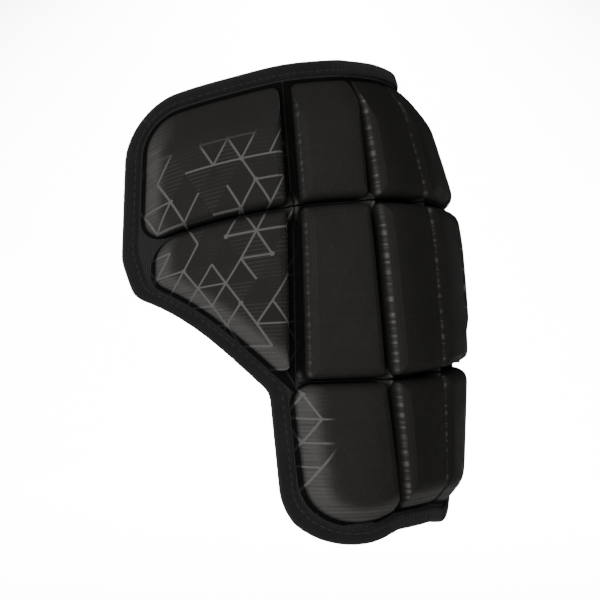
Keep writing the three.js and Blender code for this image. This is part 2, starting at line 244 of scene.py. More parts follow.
COLUMN_LINES = lines_of([column[1] for column in COLUMNS])
ROW_LINES = lines_of([row[1] for row in ROWS])
COLUMN_SHIFTS = [*(column[3] for column in COLUMNS), 0]
COLUMN_MIDDLES = (COLUMN_LINES[1:] + COLUMN_LINES[:-1]) / 2
ROW_MIDDLES = (ROW_LINES[1:] + ROW_LINES[:-1]) / 2
ARCH_U = COLUMN_LINES[1] + ARCH_PEAK * COLUMNS[1][1]


def smoothstep(x, low, high):
    t = np.clip((x - low) / (high - low), 0, 1)
    return t * t * (3 - 2 * t)


def band(x, starts, full, fades, ends):
    """Rises from 0 to 1 and falls to 0 again."""
    return smoothstep(x, starts, full) * (1 - smoothstep(x, fades, ends))


def angle_at(distance, middles, angles, bend_share):
    """Angle at a distance along the pad: each band keeps its own at its middle and turns to the next."""
    angles = np.asarray(angles, float)
    k = np.clip(np.searchsorted(middles, distance, side="left") - 1, 0, len(middles) - 2)
    way = (distance - middles[k]) / (middles[k + 1] - middles[k])
    turned = smoothstep(way, (1 - bend_share) / 2, (1 + bend_share) / 2)
    return np.radians(angles[k] + (angles[k + 1] - angles[k]) * turned)


def facing_at(u):
    return angle_at(u, COLUMN_MIDDLES, [column[2] for column in COLUMNS], COLUMN_BEND)


def lean_at(v):
    return angle_at(v, ROW_MIDDLES, [row[2] for row in ROWS], ROW_BEND)


def traced_path(length, zero, angle_of):
    """A curve that heads along angle_of at each distance, as a function that gives its points."""
    marks = np.arange(-PATH_MARGIN, length + PATH_MARGIN, PATH_STEP)
    angles = angle_of(marks + PATH_STEP / 2)
    x = np.concatenate([[0], np.cumsum(np.cos(angles))])[:-1] * PATH_STEP
    y = np.concatenate([[0], np.cumsum(np.sin(angles))])[:-1] * PATH_STEP

    def at(distance):
        px = np.interp(distance, marks, x) - np.interp(zero, marks, x)
        py = np.interp(distance, marks, y) - np.interp(zero, marks, y)
        return px, py

    return at


plan_path = traced_path(COLUMN_LINES[-1], COLUMN_MIDDLES[2], facing_at)
profile_path = traced_path(ROW_LINES[-1], ROW_MIDDLES[1], lean_at)


def arch_drop(u, v):
    ahead = u < ARCH_U
    span = np.where(ahead, ARCH_U, COLUMN_LINES[-1] - ARCH_U)
    fall = (np.abs(u - ARCH_U) / span) ** np.where(ahead, *ARCH_FALL)
    return ARCH_RISE * fall * smoothstep(v, ROW_LINES[1], ROW_LINES[2])


def on_hip(points):
    """Points (u, v, w) of the flat pad, w out from its skin side, bent round the hip, in metres."""
    u, v, w = np.asarray(points, float).T
    along = u + GROOVE_SHIFT * np.interp(u, COLUMN_LINES, COLUMN_SHIFTS) * np.interp(v, ROW_LINES, ROW_SHIFTS)
    facing, lean = facing_at(along), lean_at(v)
    plan_x, plan_y = plan_path(along)
    profile_x, profile_y = profile_path(v)
    out = w * np.cos(lean) - profile_y
    x = plan_x + np.sin(facing) * out
    y = plan_y - np.cos(facing) * out
    z = profile_x + w * np.sin(lean) - arch_drop(u, v)
    return np.stack([x, y, z], 1) / 1000


# Outlines


def cross(a, b):
    return a[0] * b[1] - a[1] * b[0]


def moved_sides(corners, distances):
    """Moves each side of a polygon of (u, v, radius) inwards by its own distance."""
    points = np.array([corner[:2] for corner in corners], float)
    ahead = np.roll(points, -1, 0) - points
    ahead /= np.linalg.norm(ahead, axis=1)[:, None]
    starts = points + np.stack([-ahead[:, 1], ahead[:, 0]], 1) * np.array(distances)[:, None]
    moved = []
    for i in range(len(corners)):
        gap, before = starts[i] - starts[i - 1], ahead[i - 1]
        way = cross(gap, ahead[i]) / cross(before, ahead[i])
        moved.append((*(starts[i - 1] + before * way), corners[i][2]))
    return moved


def rounded_loop(corners, side_steps, corner_steps):
    """Points round a polygon with rounded corners: places, sides and how far a corner has turned."""
    at = [np.array(corner[:2], float) for corner in corners]
    count = len(corners)
    arcs = []
    for i, (*_, radius) in enumerate(corners):
        back = at[i - 1] - at[i]
        back /= np.linalg.norm(back)
        ahead = at[(i + 1) % count] - at[i]
        ahead /= np.linalg.norm(ahead)
        half = math.acos(np.clip(back @ ahead, -1, 1)) / 2
        middle = back + ahead
        centre = at[i] + middle / np.linalg.norm(middle) * radius / math.sin(half)
        first = at[i] + back * radius / math.tan(half) - centre
        turn = np.sign(cross(ahead, back)) * (math.pi - 2 * half)
        arcs.append((centre, first, turn))
    places, sides, mixes = [], [], []
    for i, (centre, first, turn) in enumerate(arcs):
        for mix in np.linspace(0, 1, corner_steps + 1):
            c, s = math.cos(turn * mix), math.sin(turn * mix)
            places.append(centre + np.array([c * first[0] - s * first[1], s * first[0] + c * first[1]]))
            sides.append(i)
            mixes.append(mix)
        start, next_arc = places[-1], arcs[(i + 1) % count]
        end = next_arc[0] + next_arc[1]
        for way in np.linspace(0, 1, side_steps[i] + 1)[1:-1]:
            places.append(start + (end - start) * way)
            sides.append(i)
            mixes.append(1.0)
    return np.array(places), np.array(sides), np.array(mixes)


def inner_corners(row, column):
    left, right = COLUMN_LINES[column], COLUMN_LINES[column + 1]
    low, high = ROW_LINES[row], ROW_LINES[row + 1]
    places = ((right, low), (right, high), (left, high), (left, low))
    return [(u, v, SHARP_CORNER) for u, v in places]


def end_corners(row, column, rear):
    name, height = ROWS[row][:2]
    width = COLUMNS[column][1]
    outer = COLUMN_LINES[column + (1 if rear else 0)]
    foot_lift = REAR_FOOT_LIFT if rear and row == 0 else 0
    corners = []
    for inward, up, radius in END_BLOCKS[name]:
        lifted = up + foot_lift if up < 0 else up
        u = outer + (-1 if rear else 1) * inward * width
        corners.append((u, ROW_LINES[row] + lifted * height, radius))
    return corners


def block_outline(row, column):
    """Corners of a block from its lower right one counter-clockwise, and the kind of each side."""
    name, _, _, first, last = ROWS[row]
    if column == first:
        return end_corners(row, column, False), END_SIDES[name]
    if column == last:
        kinds = END_SIDES[name][::-1]
        return end_corners(row, column, True)[::-1], (*kinds[1:], kinds[0])
    top = "top" if row == len(ROWS) - 1 else "row"
    foot = "rim" if row == 0 else "row"
    return inner_corners(row, column), (groove_kind(column + 1), top, groove_kind(column), foot)


def groove_kind(line):
    """The grooves beside the end columns are wider than the other upright ones."""
    return "end" if line in (1, len(COLUMNS) - 1) else "column"


def panel_corners():
    loops = []
    for rear in (False, True):
        lower, middle, upper = (end_corners(i, ROWS[i][4 if rear else 3], rear) for i in range(3))
        step_in = (*lower[2][:2], INSIDE_CORNER)
        loops.append([upper[2], upper[3], middle[3], step_in, lower[3]])
    foot = [(COLUMN_LINES[line], 0.0, FOOT_TURN) for line in (2, 3)]
    loop = [*loops[0], *foot, *loops[1][::-1]]
    kept = (INSIDE_CORNER, FOOT_TURN)
    moved = moved_sides(loop, [-FLANGE] * len(loop))
    return [(u, v, r if r in kept else r + FLANGE) for u, v, r in moved]


def evenly_spaced(line, steps):
    lengths = np.concatenate([[0], np.cumsum(np.linalg.norm(np.diff(line, axis=0), axis=1))])
    marks = np.linspace(0, lengths[-1], steps + 1)[:-1]
    return np.stack([np.interp(marks, lengths, line[:, i]) for i in range(2)], 1)


def evenly_round(points, steps):
    """Evenly spaced points round a closed outline."""
    return evenly_spaced(np.vstack([points, points[:1]]), steps)


def side_lengths(points):
    """Lengths from each point of a closed outline to the next."""
    return np.linalg.norm(np.roll(points, -1, 0) - points, axis=1)


def outline_loop(across, up, corner_steps=24):
    """The panel's outline in even steps, counter-clockwise from the middle of its upper front corner."""
    corners = panel_corners()
    fine = rounded_loop(corners, [1] * len(corners), corner_steps)[0]
    turns = ((0, 4, up), (4, len(corners) - 5, across), (len(corners) - 5, len(corners) - 1, up))
    turns += ((len(corners) - 1, len(corners), across),)
    runs = []
    for start, end, steps in turns:
        first, last = (corner * (corner_steps + 1) + corner_steps // 2 for corner in (start, end))
        runs.append(evenly_spaced(fine[np.arange(first, last + 1) % len(fine)], steps))
    return np.concatenate(runs)


def grid_over(loop, start, across, up):
    """A grid inside a closed loop, from its foot row up, whose rim is the loop's own points."""
    on = np.roll(loop, -start, 0)
    low = on[: across + 1]
    right = on[across : across + up + 1]
    high = on[across + up : 2 * across + up + 1][::-1]
    left = np.concatenate([on[2 * across + up :], on[:1]])[::-1]
    x = np.linspace(0, 1, across + 1)[None, :, None]
    y = np.linspace(0, 1, up + 1)[:, None, None]
    edges = left[:, None] * (1 - x) + right[:, None] * x + low[None] * (1 - y) + high[None] * y
    corners = (low[0] * (1 - x) + low[-1] * x) * (1 - y) + (high[0] * (1 - x) + high[-1] * x) * y
    grid = edges - corners
    grid[0], grid[-1], grid[:, 0], grid[:, -1] = low, high, left, right
    return grid


# Meshes


def covered(loops, start, across, up, rise):
    """Points and quads of a closed skin over loops of equal count, with a grid at each end."""
    count = len(loops[0])
    points = [np.concatenate(loops)]
    quads = []
    hump_x = 1 - (2 * np.linspace(0, 1, across + 1) - 1) ** 2
    hump_y = 1 - (2 * np.linspace(0, 1, up + 1) - 1) ** 2
    hump = (np.outer(hump_y, hump_x)) ** 0.7
    total = len(points[0])
    last = (len(loops) - 1) * count
    for end, first, outward, raised in ((0, 0, False, 0.0), (-1, last, True, rise)):
        grid = grid_over(loops[end], start, across, up)
        grid[..., 2] += hump * raised
        ids = np.full((up + 1, across + 1), -1)
        ring = first + (start + np.arange(count)) % count
        ids[0], ids[:, -1] = ring[: across + 1], ring[across : across + up + 1]
        ids[-1] = ring[across + up : 2 * across + up + 1][::-1]
        ids[:, 0] = np.concatenate([ring[2 * across + up :], ring[:1]])[::-1]
        inside = grid[1:-1, 1:-1].reshape(-1, grid.shape[-1])
        ids[1:-1, 1:-1] = total + np.arange(len(inside)).reshape(up - 1, across - 1)
        total += len(inside)
        points.append(inside)
        a, b, c, d = ids[:-1, :-1], ids[:-1, 1:], ids[1:, 1:], ids[1:, :-1]
        order = (a, b, c, d) if outward else (a, d, c, b)
        quads.append(np.stack([corner.ravel() for corner in order], 1))
    i = np.arange(count)
    j = (i + 1) % count
    for k in range(len(loops) - 1):
        low, high = k * count, (k + 1) * count
        quads.append(np.stack([low + i, low + j, high + j, high + i], 1))
    return np.concatenate(points), np.concatenate(quads)


def new_piece(name, points, faces, pattern):
    """A mesh object at the origin with its flat pattern as its UV map."""
    mesh = bpy.data.meshes.new(name)
    mesh.from_pydata([tuple(p) for p in points], [], [tuple(int(i) for i in f) for f in faces])
    piece = bpy.data.objects.new(name, mesh)
    bpy.context.scene.collection.objects.link(piece)
    lay_pattern(piece, pattern)
    mesh.shade_smooth()
    return piece


def lay_pattern(piece, pattern):
    """Gives a mesh its flat pattern, in millimetres point by point, as its UV map."""
    flat = (np.asarray(pattern)[:, :2] + PATTERN_MARGIN) / PATTERN_SIZE
    layer = piece.data.uv_layers.new(name="flat_pattern")
    corners = np.empty(len(piece.data.loops), int)
    piece.data.loops.foreach_get("vertex_index", corners)
    layer.data.foreach_set("uv", flat[corners].ravel())


def add_values(piece, **values):
    """Gives each point of a mesh named values that its material reads."""
    for name, numbers in values.items():
        attribute = piece.data.attributes.new(name, "FLOAT", "POINT")
        attribute.data.foreach_set("value", np.asarray(numbers, float))


def only(piece):
    bpy.ops.object.select_all(action="DESELECT")
    piece.select_set(True)
    bpy.context.view_layer.objects.active = piece


def finish_piece(piece, slot, material, *nodes):
    piece.data.materials.append(material)
    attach(piece, "root")
    if nodes:
        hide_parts(*nodes)
    return piece


# Blocks


def skirt_lift(places, corners, kinds):
    """Rise of the skin over the panel: where grooves cross, it is stretched like a small tent."""
    lift = np.full(len(places), SKIRT_LIFT)
    for i, corner in enumerate(corners):
        if {kinds[i], kinds[i - 1]} <= {"column", "end", "row"}:
            apart = np.linalg.norm(places - np.array(corner[:2]), axis=1)
            lift += SADDLE_RISE * np.exp(-((apart / SADDLE_REACH) ** 2))
    return lift


def at_sides(values, sides, mixes):
    """Spreads a value of each side over an outline's points, and blends it round the corners."""
    values = np.asarray(values, float)
    return values[sides - 1] * (1 - mixes) + values[sides] * mixes


def loop_inset(kind, level):
    """How far inside its block's outline a loop of the skin runs: levels below 0 are the skirt's."""
    if level < 0:
        return GROOVE_FOOT[kind] + SKIRT_OUT[kind] * SKIRT[level][0]
    return GROOVE_FOOT[kind] + EDGE_WIDTH[kind] * CLIMB[kind][level][0]


def loop_places(corners, kinds, level):
    """Places of one loop of a block's skin, the side of each and how far a corner has turned there."""
    insets = [loop_inset(kind, level) for kind in kinds]
    rounded = []
    for i, (u, v, radius) in enumerate(moved_sides(corners, insets)):
        roundness = SKIRT[level][1] if level < 0 and radius == SHARP_CORNER else 1.0
        rounded.append((u, v, max((radius - min(insets[i], insets[i - 1])) * roundness, LEAST_CORNER)))
    return rounded_loop(rounded, [UP, ACROSS, UP, ACROSS], CORNER)


def block_loops(corners, kinds):
    """Loops of a block's skin from its skirt up to its face, with the values that its material reads."""
    foot = PANEL_THICKNESS + SEAT_GAP
    loops = []
    for level in range(-len(SKIRT), len(ROUND_CLIMB)):
        places, *turn = loop_places(corners, kinds, level)
        height = PANEL_THICKNESS + skirt_lift(places, corners, kinds)
        if level >= 0:
            rise = at_sides([CLIMB[kind][level][1] for kind in kinds], *turn)
            height = np.maximum(foot + FIRST_STEP + (BLOCK_HEIGHT - FIRST_STEP) * rise, height + FIRST_STEP)
        climbed = (height - foot) / BLOCK_HEIGHT
        # Painted shade near the block's foot, where the grooves lie in shade.
        pressed = 1 - smoothstep(climbed, GROOVE_SHADE_FROM, at_sides([GROOVE_SHADE_TO[kind] for kind in kinds], *turn))
        # Painted highlight along the upright shoulders beside the grooves.
        highlight_sides = at_sides([SHOULDER_HIGHLIGHT.get(kind, 0) for kind in kinds], *turn)
        shoulder = highlight_sides * band(climbed, *SHOULDER_HIGHLIGHT_BAND)
        # Painted highlight, with printed hatching in it, down the slopes of the rims.
        rim = at_sides([kind == "rim" for kind in kinds], *turn) * band(climbed, *RIM_HIGHLIGHT_BAND)
        loops.append(np.column_stack([places, height, pressed, shoulder, rim]))
    under = loops[0].copy()
    under[:, 2] = PANEL_THICKNESS + SKIRT_UNDERSIDE
    return [under, *loops]


def block_piece(row, column):
    corners, kinds = block_outline(row, column)
    loops = block_loops(corners, kinds)
    start = len(loops[0]) - ACROSS - CORNER // 2
    points, quads = covered(loops, start, ACROSS + CORNER, UP + CORNER, FACE_HUMP)
    name = f"{ROWS[row][0]}_{COLUMNS[column][0]}"
    piece = new_piece(f"{name}_skin", on_hip(points[:, :3]), quads, points)
    # The painted groove shade, the painted shoulder highlight and the painted rim highlight, for the skin's
    # material.
    add_values(piece, pressed=points[:, 3], shoulder=points[:, 4], rim=points[:, 5])
    held = piece.vertex_groups.new(name="held")
    count = len(loops[0])
    bottom = count * len(loops)
    held.add(list(range(HELD_LOOPS * count)), 1.0, "REPLACE")
    held.add(list(range(bottom, bottom + (ACROSS + CORNER - 1) * (UP + CORNER - 1))), 1.0, "REPLACE")
    return piece, f"{name}_block"


def add_pressure(piece):
    cloth = piece.modifiers.new("Foam pressure", "CLOTH")
    settings = cloth.settings
    settings.quality = 6
    settings.mass = 0.02
    settings.tension_stiffness = 12
    settings.compression_stiffness = 12
    settings.shear_stiffness = 6
    settings.bending_stiffness = 0.4
    settings.vertex_group_mass = "held"
    settings.use_pressure = True
    settings.uniform_pressure_force = 0.6
    settings.effector_weights.gravity = 0
    cloth.point_cache.frame_start = 1
    cloth.point_cache.frame_end = PRESSURE_FRAMES


def puff(pieces, swell):
    """Lets foam pressure push the skins out by at most swell, and keeps the result in the meshes."""
    before = {}
    for piece in pieces:
        rest = np.empty(len(piece.data.vertices) * 3)
        piece.data.vertices.foreach_get("co", rest)
        before[piece.name] = rest.reshape(-1, 3)
        add_pressure(piece)
    for step in range(1, PRESSURE_FRAMES + 1):
        bpy.context.scene.frame_set(step)
    for piece in pieces:
        only(piece)
        bpy.ops.object.modifier_apply(modifier="Foam pressure")
        rest = before[piece.name]
        after = np.empty(rest.size)
        piece.data.vertices.foreach_get("co", after)
        moved = after.reshape(-1, 3) - rest
        most = np.linalg.norm(moved, axis=1).max()
        if not np.isfinite(most):
            raise RuntimeError(f"{piece.name}: the foam pressure ran away")
        piece.data.vertices.foreach_set("co", (rest + moved * min(1.0, swell / max(most, 1e-9))).ravel())
        piece.data.update()
    bpy.context.scene.frame_set(1)


def block_row(row):
    sizes, colours = bpy.context.scene.hip_pad_sizes, bpy.context.scene.hip_pad_colours
    made = [block_piece(row, column) for column in range(ROWS[row][3], ROWS[row][4] + 1)]
    puff([piece for piece, _ in made], sizes.swell)
    material = skin_material(sizes, colours)
    for piece, node in made:
        only(piece)
        piece.vertex_groups.clear()
        smooth = piece.modifiers.new("Smooth", "SUBSURF")
        smooth.levels = smooth.render_levels = 1
        bpy.ops.object.modifier_apply(modifier="Smooth")
        piece.data.shade_smooth()
        finish_piece(piece, "block_cloth", material, node)


# Panel, tape and stitches


def panel_piece(material):
    outline = outline_loop(PANEL_ACROSS, PANEL_UP)
    rim = np.column_stack([outline, np.full(len(outline), PANEL_THICKNESS / 2)])
    grid = grid_over(rim, PANEL_UP, PANEL_ACROSS, PANEL_UP)
    flat = grid.reshape(-1, 3)
    piece = plain_grid("panel_knit", PANEL_ACROSS, PANEL_UP)
    piece.data.vertices.foreach_set("co", on_hip(flat).ravel())
    lay_pattern(piece, flat)
    only(piece)
    wall = piece.modifiers.new("Thickness", "SOLIDIFY")
    wall.thickness = PANEL_THICKNESS / 1000
    wall.offset = 0
    bpy.ops.object.modifier_apply(modifier="Thickness")
    piece.data.shade_smooth()
    finish_piece(piece, "panel_cloth", material, "carrier_panel")


def plain_grid(name, across, up):
    """A flat grid whose points run row by row."""
    bpy.ops.object.select_all(action="DESELECT")
    bpy.ops.mesh.primitive_grid_add(x_subdivisions=across, y_subdivisions=up, size=1, calc_uvs=False)
    grid = bpy.context.active_object
    grid.name = grid.data.name = name
    return grid


def outline_frame(points):
    """Unit vectors along and inwards at each point of a closed counter-clockwise outline."""
    along = np.roll(points, -1, 0) - np.roll(points, 1, 0)
    along /= np.linalg.norm(along, axis=1)[:, None]
    return along, np.stack([-along[:, 1], along[:, 0]], 1)


def tape_section():
    """The folded tape's section, as distances past the panel's edge and heights over its skin side."""
    top, low = PANEL_THICKNESS + TAPE_FOLD, -TAPE_FOLD
    middle, half = (top + low) / 2, (top - low) / 2
    turns = np.linspace(0.12, math.pi - 0.12, 9)
    bend = [(TAPE_FOLD * math.sin(turn), middle + half * math.cos(turn)) for turn in turns]
    edge, seam = -TAPE_LAP, SEAM_INSET - TAPE_LAP
    upper = [(edge, top - 0.75), (edge + 0.25, top - 0.42), (seam, top - 0.28), (-TAPE_FOLD, top)]
    lower = [(-TAPE_FOLD, low), (seam, low + 0.2), (edge + 0.25, low + 0.3), (edge, low + 0.6)]
    hollow = [(TAPE_GAP, low + TAPE_WALL), (TAPE_GAP, top - TAPE_WALL)]
    inner = [(edge + 0.15, low + 0.98), *hollow, (edge + 0.15, top - 1.1)]
    return np.array(upper + bend + lower + inner)


def tape_piece(sizes, material):
    points = evenly_round(outline_loop(TAPE_ACROSS, TAPE_UP), TAPE_STEPS)
    _, inward = outline_frame(points)
    section = tape_section()
    count, around = len(section), len(points)
    lengths = side_lengths(points)
    run = np.concatenate([[0], np.cumsum(lengths)[:-1]])
    pucker = SEAM_PUCKER * np.cos(2 * math.pi * run / stitch_step(lengths.sum(), sizes))
    near = np.exp(-(((section[:, 0] + TAPE_LAP - SEAM_INSET) / SEAM_INSET) ** 2))
    side = np.sign(section[:, 1] - PANEL_THICKNESS / 2)
    height = section[:, 1] + pucker[:, None] * (near * side)
    places = points[:, None] - inward[:, None] * section[None, :, :1]
    flat = np.concatenate([places, height[..., None]], 2).reshape(-1, 3)
    i, k = np.meshgrid(np.arange(around), np.arange(count), indexing="ij")
    a, b = i * count + k, ((i + 1) % around) * count + k
    c, d = ((i + 1) % around) * count + (k + 1) % count, i * count + (k + 1) % count
    quads = np.stack([a.ravel(), d.ravel(), c.ravel(), b.ravel()], 1)
    pattern = np.stack([np.repeat(run, count), np.tile(section[:, 0] + 8 + 3 * side, around)], 1)
    piece = new_piece("edge_tape_weave", on_hip(flat), quads, pattern)
    finish_piece(piece, "tape_cloth", material, "edge_tape")


def stitch_step(length, sizes):
    return length / round(length / (sizes.stitch_pitch * 1000))


def one_stitch(sizes):
    """Points and faces of one stitch of thread, lying along X with its ends turned down."""
    bpy.ops.object.select_all(action="DESELECT")
    bpy.ops.mesh.primitive_uv_sphere_add(segments=7, ring_count=8, radius=1)
    stitch = bpy.context.active_object
    bpy.ops.object.mode_set(mode="EDIT")
    bpy.ops.mesh.select_all(action="SELECT")
    bpy.ops.transform.rotate(value=math.pi / 2, orient_axis="Y", center_override=(0, 0, 0))
    width = sizes.stitch_width * 1000
    length = sizes.stitch_pitch * 1000 * STITCH_SHARE
    bpy.ops.transform.resize(value=(length / 2, width / 2, width / 2), center_override=(0, 0, 0))
    bpy.ops.object.mode_set(mode="OBJECT")
    points = np.array([v.co for v in stitch.data.vertices])
    faces = sorted(tuple(f.vertices) for f in stitch.data.polygons)  # the sphere's own order varies
    bpy.data.objects.remove(stitch)
    points[:, 2] -= STITCH_DIP * np.abs(points[:, 0] / (length / 2)) ** 3
    return points, faces


def stitches_piece(sizes, material):
    points = outline_loop(TAPE_ACROSS, TAPE_UP)
    length = side_lengths(points).sum()
    line = evenly_round(points, round(length / stitch_step(length, sizes)))
    along, inward = outline_frame(line)
    row = line + inward * (TAPE_LAP - SEAM_INSET)
    shape, faces = one_stitch(sizes)
    top, low = PANEL_THICKNESS + TAPE_FOLD - STITCH_SUNK[0], STITCH_SUNK[1] - TAPE_FOLD
    placed, all_faces, pattern = [], [], []
    for side, height in ((1, top), (-1, low)):
        for place, ahead, across in zip(row, along, inward, strict=True):
            base = place + shape[:, :1] * ahead + shape[:, 1:2] * across
            flat = np.column_stack([base, height + side * shape[:, 2]])
            offset = len(placed) * len(shape)
            turned = faces if side > 0 else [face[::-1] for face in faces]
            all_faces += [tuple(i + offset for i in face) for face in turned]
            placed.append(flat)
    flat = np.concatenate(placed)
    piece = new_piece("tape_stitches", on_hip(flat), all_faces, flat)
    finish_piece(piece, "tape_cloth", material)


# Materials


class Tree:
    """Short calls for building a node tree."""

    def __init__(self, tree):
        self.tree = tree

    def node(self, kind, **settings):
        node = self.tree.nodes.new(kind)
        for name, value in settings.items():
            setattr(node, name, value)
        return node

    def plug(self, value, socket):
        if isinstance(value, bpy.types.NodeSocket):
            self.tree.links.new(value, socket)
        elif value is not None:
            socket.default_value = value

    def plug_all(self, values, sockets):
        for value, socket in zip(values, sockets, strict=True):
            self.plug(value, socket)

    def math(self, operation, a, b=None):
        node = self.node("ShaderNodeMath", operation=operation)
        self.plug_all((a, b), node.inputs[:2])
        return node.outputs[0]

    def plus(self, a, b):
        return self.math("ADD", a, b)

    def minus(self, a, b):
        return self.math("SUBTRACT", a, b)

    def times(self, a, b):
        return self.math("MULTIPLY", a, b)

    def waves(self, value, width):
        return self.math("ABSOLUTE", self.math("SINE", self.times(value, math.pi / width)))

    def ramp(self, value, low, high, start=0.0, end=1.0):
        node = self.node("ShaderNodeMapRange", interpolation_type="SMOOTHSTEP")
        self.plug_all((value, low, high, start, end), node.inputs[:5])
        return node.outputs["Result"]

    def mix(self, share, a, b):
        node = self.node("ShaderNodeMix", data_type="RGBA")
        self.plug_all((share, a, b), (node.inputs[0], node.inputs[6], node.inputs[7]))
        return node.outputs[2]

    def xy(self, vector):
        node = self.node("ShaderNodeSeparateXYZ")
        self.plug(vector, node.inputs[0])
        return node.outputs[0], node.outputs[1]

    def value_of(self, name):
        return self.node("ShaderNodeAttribute", attribute_name=name).outputs["Fac"]

    def vector(self, x, y, z):
        node = self.node("ShaderNodeCombineXYZ")
        self.plug_all((x, y, z), node.inputs)
        return node.outputs[0]

    def random(self, x, y, z):
        noise = self.node("ShaderNodeTexWhiteNoise", noise_dimensions="3D")
        self.plug(self.vector(x, y, z), noise.inputs["Vector"])
        return noise.outputs["Value"]


def node_group(name, floats, outputs):
    """A new node group that takes a place and floats and gives floats, with its tree and its end sockets."""
    group = bpy.data.node_groups.new(name, "ShaderNodeTree")
    group.interface.new_socket("Place", in_out="INPUT", socket_type="NodeSocketVector")
    for label, value in floats.items():
        socket = group.interface.new_socket(label, in_out="INPUT", socket_type="NodeSocketFloat")
        socket.default_value = value
    for label in outputs:
        group.interface.new_socket(label, in_out="OUTPUT", socket_type="NodeSocketFloat")
    tree = Tree(group)
    return group, tree, tree.node("NodeGroupInput").outputs, tree.node("NodeGroupOutput").inputs


def preset(node, values):
    for label, value in values.items():
        node.inputs[label].default_value = value


def net_direction_group():
    """Lines of a triangular net along one direction, with some of the lengths between its nodes left out."""
    made = bpy.data.node_groups.get("Net direction")
    if made:
        return made
    floats = {"Angle": 0.0, "Spacing": 9.0, "Width": 0.5, "Share": 0.5}
    group, t, given, out = node_group("Net direction", floats, ("Line", "Band"))
    x, y = t.xy(given["Place"])
    angle, spacing = given["Angle"], given["Spacing"]
    c, s = t.math("COSINE", angle), t.math("SINE", angle)
    along = t.plus(t.times(x, c), t.times(y, s))
    across = t.minus(t.times(y, c), t.times(x, s))
    rows = t.math("DIVIDE", across, spacing)
    row = t.math("ROUND", rows)
    off = t.times(t.math("ABSOLUTE", t.minus(rows, row)), spacing)
    half = t.times(given["Width"], 0.5)
    line = t.ramp(off, half, t.plus(half, 0.22), 1.0, 0.0)
    edge = t.times(spacing, 2 / math.sqrt(3))
    step = t.math("FLOOR", t.minus(t.math("DIVIDE", along, edge), t.times(row, 0.5)))
    kept = t.math("LESS_THAN", t.random(row, step, t.plus(angle, NET_SEED)), given["Share"])
    t.plug(t.times(line, kept), out["Line"])
    t.plug(t.math("FLOOR", rows), out["Band"])
    return group


def line_net_group():
    """A printed net of straight lines at three angles, with dots on nodes and hatching in triangles."""
    made = bpy.data.node_groups.get("Line net")
    if made:
        return made
    floats = {"Spacing": 9.0, "Width": 0.5, "Share": 0.5}
    group, t, given, out = node_group("Line net", floats, ("Lines", "Hatch"))
    lines, bands = [], []
    for angle in (0.0, math.pi / 3, 2 * math.pi / 3):
        one = t.node("ShaderNodeGroup", node_tree=net_direction_group())
        for label in ("Place", "Spacing", "Width", "Share"):
            t.plug(given[label], one.inputs[label])
        one.inputs["Angle"].default_value = angle
        lines.append(one.outputs["Line"])
        bands.append(one.outputs["Band"])
    net = t.math("MAXIMUM", t.math("MAXIMUM", lines[0], lines[1]), lines[2])
    x, y = t.xy(given["Place"])
    spacing = given["Spacing"]
    edge = t.times(spacing, 2 / math.sqrt(3))
    row = t.math("ROUND", t.math("DIVIDE", y, spacing))
    shifted = t.minus(t.math("DIVIDE", x, edge), t.times(row, 0.5))
    step = t.math("ROUND", shifted)
    dx = t.times(t.minus(shifted, step), edge)
    dy = t.minus(y, t.times(row, spacing))
    apart = t.math("SQRT", t.plus(t.times(dx, dx), t.times(dy, dy)))
    dotted = t.math("LESS_THAN", t.random(row, step, 7.0), DOT_SHARE)
    dot = t.times(t.ramp(apart, DOT_RADIUS, DOT_RADIUS + 0.25, 1.0, 0.0), dotted)
    t.plug(t.math("MAXIMUM", net, dot), out["Lines"])
    stripe = t.ramp(t.math("PINGPONG", y, HATCH_PITCH), 0.12, 0.4, 1.0, 0.0)
    shade = t.ramp(t.random(*bands), 0.3, 0.9, 0.0, 1.0)
    t.plug(t.times(stripe, shade), out["Hatch"])
    return group


def knit_group():
    """Columns of knitted loops: a height for relief and a shade for the gaps between the loops."""
    made = bpy.data.node_groups.get("Knit")
    if made:
        return made
    group, t, given, out = node_group("Knit", {"Pitch": 0.9}, ("Height", "Shade"))
    x, y = t.xy(given["Place"])
    pitch = given["Pitch"]
    wale = t.math("DIVIDE", x, pitch)
    leg = t.math("PINGPONG", wale, 0.5)
    course = t.plus(t.math("DIVIDE", y, t.times(pitch, 0.8)), t.times(leg, 1.3))
    loop = t.waves(course, 1)
    rib = t.waves(wale, 1)
    height = t.times(t.math("POWER", rib, 0.6), t.plus(t.times(loop, 0.55), 0.45))
    t.plug(height, out["Height"])
    t.plug(t.ramp(height, 0.1, 0.8), out["Shade"])
    return group


def tone_group():
    """Faint cloudy change of tone over a cloth."""
    made = bpy.data.node_groups.get("Cloth tone")
    if made:
        return made
    group, t, given, out = node_group("Cloth tone", {"Scale": 0.05}, ("Tone",))
    cloud = t.node("ShaderNodeTexNoise", noise_dimensions="3D")
    t.plug(given["Place"], cloud.inputs["Vector"])
    t.plug(given["Scale"], cloud.inputs["Scale"])
    cloud.inputs["Detail"].default_value = 4.0
    t.plug(cloud.outputs["Fac"], out["Tone"])
    return group


def cloth_material(name, roughness, sheen):
    material = bpy.data.materials.new(name)
    material.use_nodes = True
    t = Tree(material.node_tree)
    shader = material.node_tree.nodes["Principled BSDF"]
    preset(shader, {"Roughness": roughness, "Specular IOR Level": CLOTH_GLOSS, "Sheen Weight": sheen})
    preset(shader, {"Sheen Roughness": 0.45, "Sheen Tint": (0.8, 0.8, 0.85, 1)})
    uv = t.node("ShaderNodeUVMap", uv_map="flat_pattern")
    scale = t.node("ShaderNodeMapping")
    t.plug(uv.outputs[0], scale.inputs["Vector"])
    corner, size = (-PATTERN_MARGIN, -PATTERN_MARGIN, 0), (PATTERN_SIZE, PATTERN_SIZE, 1)
    preset(scale, {"Location": corner, "Scale": size})
    return material, t, shader, scale.outputs[0]


